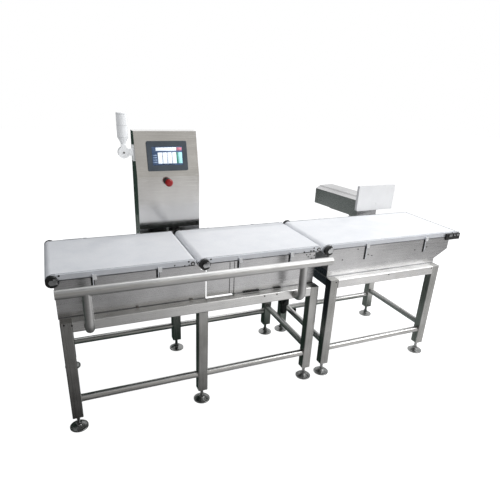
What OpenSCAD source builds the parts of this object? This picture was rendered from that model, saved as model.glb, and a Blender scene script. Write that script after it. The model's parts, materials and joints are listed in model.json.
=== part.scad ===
// Checkweigher: an infeed belt, a weighing belt and a reject belt on two welded tube stands,
// with a control cabinet behind the joint of the first two belts and a pusher behind the last.
// X runs with the goods, Y from the operator's side to the back, Z up.
// The origin is on the floor, at the middle of the whole outline.

/* [Stands] */
// Side of the square tube of the legs and top rails
tube = 50; // [44:1:56]
// Wall of the square and round tubes
tube_wall = 2; // [1.5:0.5:3]
// Outer corner radius of the square tube
tube_r = 5; // [4:0.5:6]
// How far the belts lie above the stand under the infeed and weighing belts
belt_over_stand = 207; // [195:1:230]
// How much higher the reject stand is
reject_step = 22; // [0:1:40]
// Clear space between the two stands
stand_gap = 72; // [60:1:84]
// Distance from the front of the stands to the belts
front_room = 65; // [60:1:75]
// Distance from the belts to the back of the stands
back_room = 65; // [60:1:75]
// Height of the lower end of the legs above the floor
leg_clear = 71; // [66:1:80]
// Diameter of the round stretchers
brace_d = 36; // [30:1:42]
// Height of the long stretchers' centre line
brace_z = 165; // [140:5:200]

/* [Levelling feet] */
// Diameter of a foot pad
pad_d = 86; // [70:2:100]
// Diameter of the threaded stem
stem_d = 16; // [12:1:20]
// How far a foot can be screwed out
foot_travel = 25; // [15:1:30]

/* [Conveyors] */
// Height of the belts' upper face above the floor
belt_top = 790; // [700:5:900]
// Width of the belts
belt_w = 450; // [300:5:600]
// Thickness of the belts
belt_t = 2; // [1.5:0.5:3]
// Diameter of the drive rollers
drive_d = 50; // [46:1:52]
// Diameter of the tail rollers
tail_d = 32; // [28:1:36]
// Length of the infeed conveyor over its belt
infeed_l = 663; // [600:1:800]
// Length of the weighing conveyor over its belt
weigh_l = 679; // [600:1:800]
// Length of the reject conveyor over its belt
reject_belt_l = 964; // [900:2:1100]
// Gap between the end of one belt and the start of the next
belt_gap = 12; // [8:1:16]
// How far the first belt stands out past the long stand
infeed_overhang = 36; // [30:1:60]
// How far the weighing belt stands out past the long stand
weigh_overhang = 28; // [20:1:40]
// How far the last belt stands out past the reject stand
reject_overhang = 166; // [140:2:180]

/* [Troughs] */
// Thickness of the trough sheet
sheet = 2.5; // [2:0.5:3]
// Gap between a conveyor's front side bar and the front wall
wall_gap = 2.5; // [2:0.5:5]
// Room for the belt drives between the back side bar and the back wall
drive_room = 36.5; // [36:0.5:44]
// How far the troughs' upper edge lies below the top of the belts
trough_drop = 28; // [27:0.5:30]
// Gap between the infeed and the weighing trough
trough_gap = 6; // [4:1:10]
// Width of the slots for the hangers
slot_w = 12; // [11:0.5:16]
// Depth of the slots in the first two troughs
slot_drop = 48; // [40:1:60]
// Depth of the slots in the reject trough
reject_slot_drop = 74; // [60:1:84]

/* [Guard rail] */
// Diameter of the guard rail's tube
rail_d = 42; // [38:1:44]
// Distance of the guard rail's centre line below the top of the belts
rail_drop = 40; // [30:1:50]
// Distance of the guard rail in front of the stand
rail_out = 59; // [56:1:70]
// How far the guard rail stands out past the left end of the stand
rail_left = 3; // [0:1:24]
// How far the guard rail stands out past the right end of the stand
rail_right = 20; // [0:1:24]

/* [Control cabinet] */
// Width of the cabinet
cab_w = 344; // [330:2:380]
// Distance of the cabinet's left side from the left end of the stand
cab_x = 460; // [420:2:480]
// Depth of the cabinet's lower part with its door
cab_d = 140; // [136:1:170]
// How far the cabinet's underside lies below the top of the stand
cab_sink = 23; // [15:1:30]
// Height above the belts at which the front starts to lean back
crease_up = 289; // [270:1:310]
// Height of the leaning part
lean_h = 232; // [220:1:250]
// How far the front leans back between the crease and the top
cab_lean = 62; // [50:1:70]
// Thickness of the cabinet's sheet
cab_wall = 2; // [1.5:0.5:3]
// Width of the operator screen's frame
hmi_w = 220; // [200:2:236]
// Height of the operator screen's frame, measured along the slope
hmi_h = 157; // [140:1:170]

/* [Signal lamp] */
// Diameter of the lamp tube
lamp_d = 56; // [45:1:60]
// Height of the lamp's top above the cabinet
lamp_up = 92; // [60:1:140]
// Distance of the folding joint below the cabinet's top
lamp_joint_down = 109; // [100:1:120]
// Diameter of the folding joint
lamp_joint_d = 60; // [50:1:64]

/* [Pusher] */
// Stroke of the pusher
stroke = 320; // [250:10:340]
// Width of the pusher's housing
push_w = 193; // [190:1:210]
// Height of the pusher's housing
push_h = 129; // [120:1:140]
// Distance of the housing's underside below the top of the belts
push_drop = 30; // [20:1:40]
// Angle of the pusher's stroke to the belt's normal
push_yaw = 10; // [5:1:14]
// Distance of the housing's front corner from the start of the reject belt
push_along = 592; // [580:1:640]
// Width of the push plate
plate_w = 293; // [260:1:320]
// Height of the push plate
plate_h = 169; // [160:1:190]
// Thickness of the push plate
plate_t = 22; // [16:1:24]

/* [Hidden] */
$fn = 48;
// Small overrun for cuts that run out past a face
over = 1;
// Clearance between pieces that must not touch
clear = 0.3;
// Radial running clearance of a pin or shaft in its bore
run = 0.05;
// Depth by which straight runs cut into the circles they leave
hair = 0.03;
// Thickness of closing caps and small flat tabs
cap_t = 3;

// Frames of the stands
stand_w = front_room + belt_w + back_room;
main_l = infeed_l + belt_gap + weigh_l - infeed_overhang - weigh_overhang;
main_h = belt_top - belt_over_stand;
reject_x = main_l + stand_gap;
reject_h = main_h + reject_step;
reject_l = reject_belt_l + weigh_overhang + belt_gap - stand_gap - reject_overhang;
mid_leg_x = (main_l - tube) / 2;
rail_under = main_h - tube;
reject_under = reject_h - tube;
bush_t = 12;
nut_h = 8;
nut_af = 26;
rim_h = 7;
rim_w = 4;
rim_edge = 1;
boss_r = 15;
boss_h = 20;
boss_edge = 2;
hex_h = 10;

// Rollers and belt lines
drive_r = drive_d / 2 + belt_t;
tail_r = tail_d / 2 + belt_t;
drive_z = belt_top - drive_r;
tail_z = belt_top - tail_r;
conv_l = [infeed_l, weigh_l, reject_belt_l];
x_infeed = -infeed_overhang;
x_weigh = x_infeed + infeed_l + belt_gap;
x_reject = x_weigh + weigh_l + belt_gap;
x_end = x_reject + reject_belt_l;
conv_x = [x_infeed, x_weigh, x_reject];
belt_y0 = front_room;
belt_y1 = belt_y0 + belt_w;
function drive_x(k) = conv_x[k] + drive_r;
function tail_x(k) = conv_x[k] + conv_l[k] - tail_r;

// Conveyor frame: two side bars beside the belt
bar_t = 5;
bar_gap = 3;
bar_h = 24;
bar_top = belt_top - belt_t;
bar_bot = bar_top - bar_h;
bar_y0 = belt_y0 - bar_gap - bar_t;
bar_y1 = belt_y1 + bar_gap;
lug_r = 24;
bed_t = 2;
tie_r = 7;
shaft_r = 8.5;
shaft_gap = 1;
shaft_nut = 5;
tail_shaft_r = 6;
roller_out = 1;
block_l = 105;
block_h = 36;
block_t = 13;
block_up = 10;
hook_t = 7.6;
hook_gap = 1;
collar_r = 10;
collar_t = 2;
housing_r = 26;
housing_t = 17;
housing_back_t = 12;

// Places of the hangers along each conveyor, front and back, as shares of its length
front_shares = [[0.291, 0.7225], [0.302, 0.7216], [0.2863, 0.7241]];
back_shares = [[0.291, 0.7225], [0.302, 0.7216], [0.2863, 0.53]];
slot_drops = [slot_drop, slot_drop, reject_slot_drop];
hanger_t = 4;
tab_l = 18;
tab_h = 24;
tab_out = 6;
hanger_foot = 6;
function front_x(k, i) = conv_x[k] + conv_l[k] * front_shares[k][i];
function back_x(k, i) = conv_x[k] + conv_l[k] * back_shares[k][i];

// Belt drive: a motor under the bed turns the drive roller's back end
pulley_pitch = 5;
pulley_land = 0.57;
drive_teeth = 20;
motor_teeth = 16;
tooth_depth = 1.6;
tooth_w = 2.6;
pulley_w = 14;
pulley_gap = 4;
flange_t = 1;
flange_up = 3;
pulley_y = bar_y1 + bar_t + housing_back_t + pulley_gap;
motor_dx = 110;
motor_dz = 91;
motor_r = 38;
motor_len = 120;
gear_len = 42;
gear_w = 76;
motor_shaft_r = 5;
motor_hole_r = 12;
motor_plate_w = 90;
motor_plate_t = 5;
motor_box_l = 52;
motor_box_t = 18;
timing_t = 2;
motor_z = drive_z - motor_dz;
function motor_x(k) = drive_x(k) + motor_dx;
function pulley_r(teeth) = teeth * pulley_pitch / (2 * PI) - pulley_land;

// Troughs
pad_t = 2;
trough_y0 = bar_y0 - wall_gap - sheet;
trough_y1 = bar_y1 + bar_t + drive_room + sheet;
trough_top = belt_top - trough_drop;
trough_z = main_h + pad_t;
reject_trough_z = reject_h + pad_t;
bend_r = 5;
notch_gap = 5;
notch_r = housing_r + notch_gap;
end_lip_h = 33;
trough_over = 4;
trough_mid = 26;
trough_short = 12;
infeed_trough_x1 = main_l / 2 + trough_mid;
weigh_trough_x = infeed_trough_x1 + trough_gap;
weigh_trough_x1 = main_l - trough_short;
floor_in = 143;
weigh_floor_x = weigh_trough_x + floor_in;
strip_w = 22;
strip_gap = 2;
hat_over = 20;
reject_trough_in = 5;
reject_trough_out = 87;
reject_trough_x = reject_x + reject_trough_in;
reject_trough_x1 = reject_x + reject_l + reject_trough_out;
corner_l = 91;
corner_h = 55;
corner_low = 26;
pad_r = 15;
pad_in = 60;
seat_out = 8;
seat_w = 24;
cross_in = 30;
weigh_cross_x = weigh_floor_x + cross_in;

// Load cell under the weighing conveyor
cell_l = 150;
cell_w = 40;
cell_h = 40;
cell_y = (trough_y0 + trough_y1) / 2;
foot_block_l = 50;
foot_block_h = 20;
head_block_h = 13;
spider_t = 8;
arm_w = 40;
spider_l = 280;
spider_gap = 109;
cell_x = motor_x(1) + motor_plate_w / 2 + spider_gap + spider_l / 2;
cell_z = trough_z + sheet + foot_block_h;
spider_z = cell_z + cell_h + head_block_h;
cell_hole_r = 11;
cell_hole_d = 8;

// Guard rail
rail_r = rail_d / 2;
rail_wall = 1.5;
rail_z = belt_top - rail_drop;
post_r = 20;
post_bend = 40;
post_z = rail_under + tube / 2;
post_xs = [main_l * 0.093, main_l * 0.891];

// Cabinet
cab_y = stand_w + hanger_t;
cab_z = main_h - cab_sink;
crease_z = belt_top + crease_up;
cab_top = crease_z + lean_h;
door_d = 18;
cab_back = cab_y + cab_d - door_d;
lip_w = 14;
slope_l = sqrt((cab_top - crease_z) * (cab_top - crease_z) + cab_lean * cab_lean);
slope_a = atan2(cab_lean, cab_top - crease_z);
bezel_t = 7;
hmi_body_d = 34;
hmi_edge = 8;
hmi_up = 31;
hmi_play = 1;
screen_w_share = 0.76;
screen_h_share = 0.62;
glass_t = 1.5;
stop_x = cab_x + cab_w * 0.477;
stop_down = 27;
stop_z = crease_z - stop_down;
stop_neck_r = 11;
stop_neck_over = 4;
stop_head_h = 15;
stop_head_edge = 4;
stop_gap = 1;
stop_ring_r = 20;
stop_ring_h = 20;
stop_stem_r = 9;
stop_head_r = 21;
stop_press = 5;
stop_nut_h = 8;
hinge_r = 3;
hinge_lug_r = 6.5;
hinge_lug_h = 24;
hinge_off = 8;
lock_r = 11;
lock_stem_r = 6;
lock_cam_l = 26;
gland_r = 14;
gland_bore_r = 7;
gland_h = 20;
hinge_x = cab_x + cab_w + hinge_off;
hinge_y = cab_back + door_d / 2;
hinge_zs = [cab_z + cab_w / 3, cab_top - cab_w / 3 - 2 * hinge_lug_h];
hinge_head = 2;
gland_x = cab_x + cab_w * 0.16;
gland_in = 64;
gland_y = cab_y + gland_in;
gland_step = 3;
gland_nut_h = 5;
lock_in = 32;
lock_x = cab_x + lock_in;
lock_z = (cab_z + cab_top) / 2;
lock_head_t = 5;
lock_grip = 10;
lock_gap = 1;
bracket_w = 40;
bracket_h = 165;
bracket_up = 2;
bracket_bolt_r = 7;
bracket_bolt_up = 11;

// Controls inside the cabinet; the rows' places and the modules are shares of the mounting plate
panel_in = 30;
panel_low = 40;
panel_gap = 8;
panel_stand_r = 5;
panel_stand_in = 14;
din_h = 35;
din_t = 7;
din_in = 6;
row_shares = [0.14, 0.47, 0.8];
module_shares = [
    [[0.04, 0.2, 0.22, 0.265], [0.27, 0.3, 0.255, 0.285], [0.6, 0.12, 0.185, 0.2], [0.75, 0.18, 0.22, 0.24]],
    [[0.04, 0.14, 0.165, 0.19], [0.21, 0.14, 0.165, 0.19], [0.38, 0.14, 0.165, 0.19], [0.56, 0.38, 0.235, 0.27]],
    [[0.04, 0.42, 0.11, 0.135], [0.5, 0.2, 0.195, 0.21], [0.74, 0.2, 0.195, 0.21]]
];

// Lamp
lamp_off = 52;
lamp_in = 40;
lamp_x = cab_x - lamp_off;
lamp_y = cab_y + cab_lean / 2 + lamp_in;
lamp_joint_z = cab_top - lamp_joint_down;
lamp_top = cab_top + lamp_up;
lamp_neck_r = 13;
lamp_neck_h = 18;
lamp_taper_h = 30;
knuckle_t = 15;
knuckle_pin_r = 5;
lamp_flange_t = 8;
lamp_flange_h = 82;
lamp_flange_w = 45;
lamp_flange_sink = 3;
lamp_arm_share = 0.6;
lamp_edge = 3;
lamp_pin_out = 2;

// Pusher
push_rest = 112;
push_l = stroke + push_rest;
push_x = x_reject + push_along;
push_z = belt_top - push_drop;
plate_in = 25;
plate_up = 18;
plate_left = 32;
push_out = 10;
plate_y = stand_w - plate_in;
plate_z = belt_top + plate_up;
plate_x = push_x - plate_left;
push_y = stand_w + push_out;
bevel_x = 39;
bevel_z = 20;
rod_r = 10;
rod_in = 50;
rod_up = 90;
guide_t = 15;
rod_back = 22;
rod_l = push_l - rod_back;
yoke_gap = 6;
yoke_h = 40;
yoke_in = 20;
plate_r = 8;
plate_bolt_r = 6;
plate_bolt_t = 3;
plate_bolt_share = 0.53;
base_t = 8;
base_side = 12;
base_front = 20;
base_share = 0.6;
post_w = 40;
post_left = 29;
post_right = 42;
foot_plate_w = 48;
gusset_l = 130;
gusset_nose = 10;

// Air filter and regulator on the reject stand's back left leg
air_z = 190;
air_body = 44;
air_bowl_r = 21;
air_bowl_h = 62;
air_knob_r = 18;
air_port_r = 6.6;
air_port_l = 12;
air_in = 80;
air_knob_h = 24;
air_bowl_in = 4;
air_bowl_end = 12;
air_gauge_r = 15;
air_gauge_t = 12;
air_bar_in = 4;
air_bar_end = 10;
clip_in = 95;
clip_l = 34;
clip_w = 30;
clip_h = 24;

y_min = -rail_out - rail_r;
y_max = push_y + push_w * sin(push_yaw) + push_l * cos(push_yaw);

module place() {
    translate([-(x_infeed + x_end) / 2, -(y_min + y_max) / 2, 0]) children();
}

// Extrudes a YZ outline from x0 to x1
module along_x(x0, x1) {
    translate([x0, 0, 0]) rotate([90, 0, 90]) linear_extrude(x1 - x0) children();
}

// Extrudes an XZ outline from y0 to y1
module along_y(y0, y1) {
    translate([0, y1, 0]) rotate([90, 0, 0]) linear_extrude(y1 - y0) children();
}

// A plain cylinder along Y from y0 to y1
module rod_y(x, z, r, y0, y1) {
    translate([x, y1, z]) rotate([90, 0, 0]) cylinder(r = r, h = y1 - y0);
}

// Rectangle with rounded corners, its lower left corner at the origin
module rounded(w, h, r) {
    translate([r, 0]) square([w - 2 * r, h]);
    translate([0, r]) square([w, h - 2 * r]);
    for (x = [r, w - r]) for (y = [r, h - r]) translate([x, y]) circle(r = r);
}

module tube_outline() {
    difference() {
        rounded(tube, tube, tube_r);
        tube_bore();
    }
}

module tube_bore() {
    translate([tube_wall, tube_wall]) rounded(tube - 2 * tube_wall, tube - 2 * tube_wall, tube_r - tube_wall);
}

module ring(r, wall) {
    difference() {
        circle(r = r);
        circle(r = r - wall);
    }
}

// Outline round two circles and the two lines that touch both; the lines run a hair inside the circles
module loop_shape(x1, z1, r1, x2, z2, r2) {
    lean = atan2(z2 - z1, x2 - x1);
    wrap = acos((r1 - r2) / norm([x2 - x1, z2 - z1]));
    s1 = r1 - hair;
    s2 = r2 - hair;
    translate([x1, z1]) circle(r = r1);
    translate([x2, z2]) circle(r = r2);
    polygon([
        [x1, z1] + s1 * [cos(lean + wrap), sin(lean + wrap)],
        [x1, z1] + s1 * [cos(lean - wrap), sin(lean - wrap)],
        [x2, z2] + s2 * [cos(lean - wrap), sin(lean - wrap)],
        [x2, z2] + s2 * [cos(lean + wrap), sin(lean + wrap)]
    ]);
}

// Closed belt from y0 to y1 round two pulleys, whose outer radii over the belt are r1 and r2
module loop_band(x1, z1, r1, x2, z2, r2, t, y0, y1) {
    along_y(y0, y1) difference() {
        loop_shape(x1, z1, r1, x2, z2, r2);
        loop_shape(x1, z1, r1 - t, x2, z2, r2 - t);
    }
}

// Corner of each leg: x, y and the height of its upper end
function leg_list() = concat(
    [for (y = [0, stand_w - tube]) for (x = [0, main_l - tube]) [x, y, main_h]],
    [for (y = [0, stand_w - tube]) [mid_leg_x, y, rail_under]],
    [for (y = [0, stand_w - tube]) for (x = [reject_x, reject_x + reject_l - tube]) [x, y, reject_h]]
);

module legs() {
    color("silver") for (leg = leg_list()) translate([leg[0], leg[1], 0]) {
        top = leg[2] - (leg[2] == rail_under ? 0 : cap_t);
        translate([0, 0, leg_clear]) linear_extrude(top - leg_clear) tube_outline();
        if (leg[2] != rail_under) translate([0, 0, top]) linear_extrude(cap_t) rounded(tube, tube, tube_r);
        difference() {
            translate([0, 0, leg_clear]) linear_extrude(bush_t) tube_bore();
            translate([tube / 2, tube / 2, leg_clear - over]) cylinder(r = stem_d / 2 + run, h = bush_t + 2 * over);
        }
        lock_nut();
    }
}

module lock_nut() {
    translate([tube / 2, tube / 2, leg_clear - nut_h]) difference() {
        cylinder(r = nut_af / 2 / cos(30), h = nut_h, $fn = 6);
        translate([0, 0, -over]) cylinder(r = stem_d / 2 + run, h = nut_h + 2 * over);
    }
}

module rail_x(x0, x1, y, z) {
    translate([0, y, z]) along_x(x0, x1) tube_outline();
}

module rail_y(x, z) {
    translate([x, 0, z]) along_y(tube, stand_w - tube) tube_outline();
}

module top_rails() {
    color("silver") {
        for (y = [0, stand_w - tube]) {
            rail_x(tube, main_l - tube, y, rail_under);
            rail_x(reject_x + tube, reject_x + reject_l - tube, y, reject_under);
        }
        for (x = [0, mid_leg_x, weigh_cross_x, main_l - tube]) rail_y(x, rail_under);
        for (x = [reject_x, reject_x + reject_l - tube]) rail_y(x, reject_under);
    }
}

module stretchers() {
    spans = [
        [tube, mid_leg_x],
        [mid_leg_x + tube, main_l - tube],
        [reject_x + tube, reject_x + reject_l - tube]
    ];
    color("silver") {
        for (y = [tube / 2, stand_w - tube / 2]) for (s = spans)
            translate([0, y, brace_z]) along_x(s[0], s[1]) ring(brace_d / 2, tube_wall);
        for (x = [0, main_l - tube, reject_x, reject_x + reject_l - tube])
            translate([x + tube / 2, 0, brace_z + brace_d]) along_y(tube, stand_w - tube) ring(brace_d / 2, tube_wall);
    }
}

// Levelling foot: dished pad with a thick rim, hexagon and threaded stem
module foot(i) {
    leg = leg_list()[i];
    r = pad_d / 2;
    translate([leg[0] + tube / 2, leg[1] + tube / 2, 0]) {
        color("dimgray") rotate_extrude() polygon([
            [0, 0], [r - rim_edge, 0], [r, rim_edge], [r, rim_h - rim_edge], [r - rim_edge, rim_h],
            [r - rim_w, rim_h], [boss_r + boss_edge, boss_h - boss_edge], [boss_r, boss_h], [0, boss_h]
        ]);
        color("silver") {
            translate([0, 0, boss_h]) cylinder(r = nut_af / 2 / cos(30), h = hex_h, $fn = 6);
            translate([0, 0, boss_h + hex_h]) cylinder(r = stem_d / 2, h = leg_clear + foot_travel);
        }
    }
}

// U-shaped sheet trough with rounded lower edges, slots for the hangers and low end plates
module trough_profile(z) {
    w = trough_y1 - trough_y0;
    h = trough_top - z;
    translate([trough_y0, z]) difference() {
        rounded(w, h + bend_r + over, bend_r);
        translate([sheet, sheet]) rounded(w - 2 * sheet, h + 2 * bend_r, bend_r - sheet);
        translate([-over, h]) square([w + 2 * over, 2 * bend_r + over]);
    }
}

module end_lip(x, z) {
    translate([x, trough_y0 + sheet, z + sheet]) cube([sheet, trough_y1 - trough_y0 - 2 * sheet, end_lip_h]);
}

module slots(k) {
    z = trough_top - slot_drops[k];
    for (i = [0, 1]) {
        translate([front_x(k, i) - slot_w / 2, trough_y0 - over, z]) cube([slot_w, sheet + 2 * over, slot_drops[k] + over]);
        translate([back_x(k, i) - slot_w / 2, trough_y1 - sheet - over, z])
            cube([slot_w, sheet + 2 * over, slot_drops[k] + over]);
    }
}

// Opening in the front wall round the drive roller's bearing
module bearing_notch(k) {
    along_y(trough_y0 - over, trough_y0 + sheet + over) translate([drive_x(k), drive_z]) {
        circle(r = notch_r);
        translate([-notch_r, 0]) square([2 * notch_r, drive_r + over]);
    }
}

module trough_pads(xs, z) {
    for (x = xs) for (y = [trough_y0 + pad_in, trough_y1 - pad_in])
        translate([x + tube / 2, y, z]) cylinder(r = pad_r, h = pad_t);
}

// Strips between the trough and the rails along it
module seat_strips(x0, x1, z) {
    for (y = [trough_y0 - seat_out, trough_y1 + seat_out - seat_w]) translate([x0, y, z]) cube([x1 - x0, seat_w, pad_t]);
}

module infeed_trough() {
    x0 = -trough_over;
    x1 = infeed_trough_x1;
    color("gainsboro") {
        difference() {
            along_x(x0, x1) trough_profile(trough_z);
            slots(0);
            bearing_notch(0);
            bearing_notch(1);
        }
        for (x = [x0, x1 - sheet]) end_lip(x, trough_z);
        trough_pads([0, mid_leg_x - pad_r / 2], main_h);
        seat_strips(x0, x1, main_h);
    }
}

module weigh_trough() {
    side_end = weigh_floor_x - strip_w - 2 * strip_gap;
    x1 = weigh_trough_x1;
    color("gainsboro") {
        difference() {
            along_x(weigh_floor_x, x1) trough_profile(trough_z);
            slots(1);
        }
        for (x = [weigh_floor_x, x1 - sheet]) end_lip(x, trough_z);
        difference() {
            for (y = [trough_y0, trough_y1 - sheet]) translate([weigh_trough_x, y, trough_z + bend_r])
                cube([side_end - weigh_trough_x, sheet, trough_top - trough_z - bend_r]);
            bearing_notch(1);
        }
        for (s = [0, 1]) joint_strip(side_end, s);
        trough_pads([weigh_cross_x, main_l - tube], main_h);
        seat_strips(weigh_floor_x, x1, main_h);
    }
}

// Cover strip that joins the two side sheets of the weighing trough, on a backing sheet
module joint_strip(x, s) {
    y = s == 0 ? trough_y0 : trough_y1 - sheet;
    back_y = s == 0 ? trough_y0 + sheet : trough_y1 - 2 * sheet;
    translate([x + strip_gap, y, trough_z + bend_r]) cube([strip_w, sheet, trough_top - trough_z - bend_r]);
    translate([x - hat_over, back_y, trough_z + bend_r])
        cube([strip_w + 2 * strip_gap + 2 * hat_over, sheet, trough_top - trough_z - 2 * bend_r]);
}

module reject_trough() {
    x1 = reject_trough_x1;
    z = reject_trough_z;
    color("gainsboro") {
        difference() {
            along_x(reject_trough_x, x1) trough_profile(z);
            slots(2);
            bearing_notch(2);
            along_y(trough_y0 - over, trough_y1 + over) polygon([
                [x1 + over, z - over], [x1 + over, z + corner_low + corner_h], [x1, z + corner_low + corner_h],
                [x1 - corner_l, z + corner_low], [x1 - corner_l, z - over]
            ]);
        }
        for (x = [reject_trough_x, x1 - corner_l - sheet]) end_lip(x, z);
        trough_pads([reject_x + tube / 2, reject_x + reject_l - tube], reject_h);
        seat_strips(reject_trough_x, x1 - corner_l, reject_h);
    }
}

// Beam load cell between a foot block and a head block
module load_cell() {
    x0 = cell_x - cell_l / 2;
    color("lightsteelblue") {
        difference() {
            translate([x0, cell_y - cell_w / 2, cell_z]) cube([cell_l, cell_w, cell_h]);
            for (d = [-cell_hole_d, cell_hole_d])
                rod_y(cell_x + d, cell_z + cell_h / 2, cell_hole_r, cell_y - cell_w / 2 - over, cell_y + cell_w / 2 + over);
        }
        translate([x0, cell_y - cell_w / 2, trough_z + sheet]) cube([foot_block_l, cell_w, foot_block_h]);
        translate([x0 + cell_l - foot_block_l, cell_y - cell_w / 2, cell_z + cell_h])
            cube([foot_block_l, cell_w, head_block_h]);
    }
}

// Carrier on the load cell whose four posts hold the weighing conveyor by its side bars
module weigh_spider() {
    xs = [cell_x - spider_l / 2, cell_x + spider_l / 2 - arm_w];
    color("gainsboro") {
        translate([xs[0], cell_y - arm_w / 2, spider_z]) cube([spider_l, arm_w, spider_t]);
        for (x = xs) {
            translate([x, bar_y0, spider_z]) cube([arm_w, bar_y1 + bar_t - bar_y0, spider_t]);
            for (y = [bar_y0, bar_y1]) translate([x, y, spider_z + spider_t])
                cube([arm_w, bar_t, bar_bot - clear - spider_z - spider_t]);
        }
    }
}

module guard_rail() {
    x0 = -rail_left;
    x1 = main_l + rail_right;
    color("lightgray") {
        translate([0, -rail_out, rail_z]) {
            along_x(x0 + cap_t, x1 - cap_t) ring(rail_r, rail_wall);
            for (x = [x0, x1 - cap_t]) along_x(x, x + cap_t) circle(r = rail_r);
        }
        for (x = post_xs) difference() {
            rail_post(x, post_r, 0);
            rail_post(x, post_r - rail_wall, over);
            translate([0, -rail_out, rail_z]) along_x(x0, x1) circle(r = rail_r - rail_wall / 2);
        }
    }
}

// Post of the guard rail: down from the rail, then bent back to the front top rail
module rail_post(x, r, more) {
    translate([x, -rail_out, post_z + post_bend]) {
        cylinder(r = r, h = rail_z - post_z - post_bend + more);
        translate([0, post_bend, 0]) rotate([0, 90, 0]) rotate([0, 0, -90])
            rotate_extrude(angle = 90) translate([post_bend, 0]) circle(r = r);
        translate([0, post_bend, -post_bend]) rotate([-90, 0, 0]) cylinder(r = r, h = rail_out - post_bend + more);
    }
}

// Side bars, slider plate, cross ties, hangers and motor plate of one conveyor
module bed(k) {
    x0 = drive_x(k);
    x1 = tail_x(k);
    color("silver") {
        for (y = [bar_y0, bar_y1]) along_y(y, y + bar_t) difference() {
            union() {
                translate([x0, bar_bot]) square([x1 - x0 + 2 * shaft_r, bar_h]);
                translate([x0, drive_z]) circle(r = lug_r);
            }
            translate([x0, drive_z]) circle(r = shaft_r + shaft_gap);
            translate([x1, tail_z]) circle(r = tail_shaft_r + shaft_gap);
        }
        translate([x0 + 2 * shaft_r, bar_y0 + bar_t, bar_top - clear - bed_t])
            cube([x1 - x0 - 4 * shaft_r, bar_y1 - bar_y0 - bar_t, bed_t]);
        for (i = [0, 1]) rod_y(front_x(k, i), bar_bot + bar_h / 2 - tie_r / 2, tie_r, bar_y0 + bar_t, bar_y1);
        for (i = [0, 1]) hangers(k, i);
        motor_plate(k);
    }
}

// Front and back hanger through the trough's slots, each with a bent tab on its right
module hangers(k, i) {
    z0 = trough_top - slot_drops[k] + (k == 1 ? hanger_foot : clear);
    z1 = bar_bot + bar_h / 2;
    y0 = trough_y0 - tab_out;
    y1 = trough_y1 + tab_out;
    translate([front_x(k, i) - hanger_t / 2, y0, z0]) cube([hanger_t, bar_y0 - y0, z1 - z0]);
    translate([front_x(k, i) - hanger_t / 2, y0, z1 - tab_h]) cube([tab_l, cap_t, tab_h]);
    translate([back_x(k, i) - hanger_t / 2, bar_y1 + bar_t, z0]) cube([hanger_t, y1 - bar_y1 - bar_t, z1 - z0]);
    translate([back_x(k, i) - hanger_t / 2, y1 - cap_t, z1 - tab_h]) cube([tab_l, cap_t, tab_h]);
}

module motor_plate(k) {
    y = bar_y1 + bar_t;
    along_y(y, y + motor_plate_t) difference() {
        translate([motor_x(k) - motor_plate_w / 2, motor_z - motor_r]) square([motor_plate_w, bar_top - motor_z + motor_r]);
        translate([motor_x(k), motor_z]) circle(r = motor_hole_r);
    }
}

// Bearing housings of the drive shaft and bearing blocks of the tail shaft; the last conveyor's front
// block hooks over the trough's wall, the others have a small round collar behind it
module end_blocks(k) {
    y0 = bar_y0 - housing_t;
    front_y = bar_y0 - (k == 2 ? block_t : collar_t);
    block_x = tail_x(k) + tail_shaft_r + tab_out - block_l;
    block_z = tail_z + block_up - block_h;
    hook_z = bar_bot - hook_gap;
    color("dimgray") {
        along_y(y0, bar_y0) translate([drive_x(k), drive_z]) ring(housing_r, housing_r - shaft_r - run);
        along_y(bar_y1 + bar_t, bar_y1 + bar_t + housing_back_t)
            translate([drive_x(k), drive_z]) ring(housing_r, housing_r - shaft_r - run);
        difference() {
            union() {
                if (k == 2) {
                    translate([block_x, front_y, hook_z]) cube([block_l, block_t, block_z + block_h - hook_z]);
                    translate([block_x, front_y, block_z]) cube([block_l, hook_t, hook_z - block_z]);
                } else {
                    rod_y(tail_x(k), tail_z, collar_r, front_y, bar_y0);
                }
                translate([block_x, bar_y1 + bar_t, block_z]) cube([block_l, block_t, block_h]);
            }
            rod_y(tail_x(k), tail_z, tail_shaft_r + run, front_y - over, bar_y1 + bar_t + block_t + over);
        }
    }
}

module conveyor_belt(k) {
    color("white")
        loop_band(drive_x(k), drive_z, drive_r, tail_x(k), tail_z, tail_r, belt_t, belt_y0, belt_y1);
}

// Toothed belt pulley with two flanges
module pulley(teeth) {
    r = pulley_r(teeth);
    linear_extrude(pulley_w) difference() {
        circle(r = r);
        for (i = [0 : teeth - 1]) rotate(i * 360 / teeth) translate([r - tooth_depth, -tooth_w / 2])
            square([2 * tooth_depth, tooth_w]);
    }
    for (z = [0, pulley_w - flange_t]) translate([0, 0, z]) cylinder(r = r + flange_up, h = flange_t);
}

module drive_roller(k) {
    front = bar_y0 - housing_t - clear;
    color("lightgray") {
        rod_y(drive_x(k), drive_z, drive_d / 2 - clear, belt_y0 - roller_out, belt_y1 + roller_out);
        rod_y(drive_x(k), drive_z, shaft_r, front - tab_out, pulley_y + pulley_w);
        translate([drive_x(k), front, drive_z]) rotate([90, 0, 0]) cylinder(r = shaft_r + shaft_nut, h = tab_out, $fn = 6);
        translate([drive_x(k), pulley_y + pulley_w, drive_z]) rotate([90, 0, 0]) pulley(drive_teeth);
    }
}

module tail_roller(k) {
    color("lightgray") {
        rod_y(tail_x(k), tail_z, tail_d / 2 - clear, belt_y0 - roller_out, belt_y1 + roller_out);
        rod_y(
            tail_x(k), tail_z, tail_shaft_r,
            bar_y0 - (k == 2 ? block_t + roller_out : collar_t), bar_y1 + bar_t + block_t + roller_out
        );
    }
}

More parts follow.
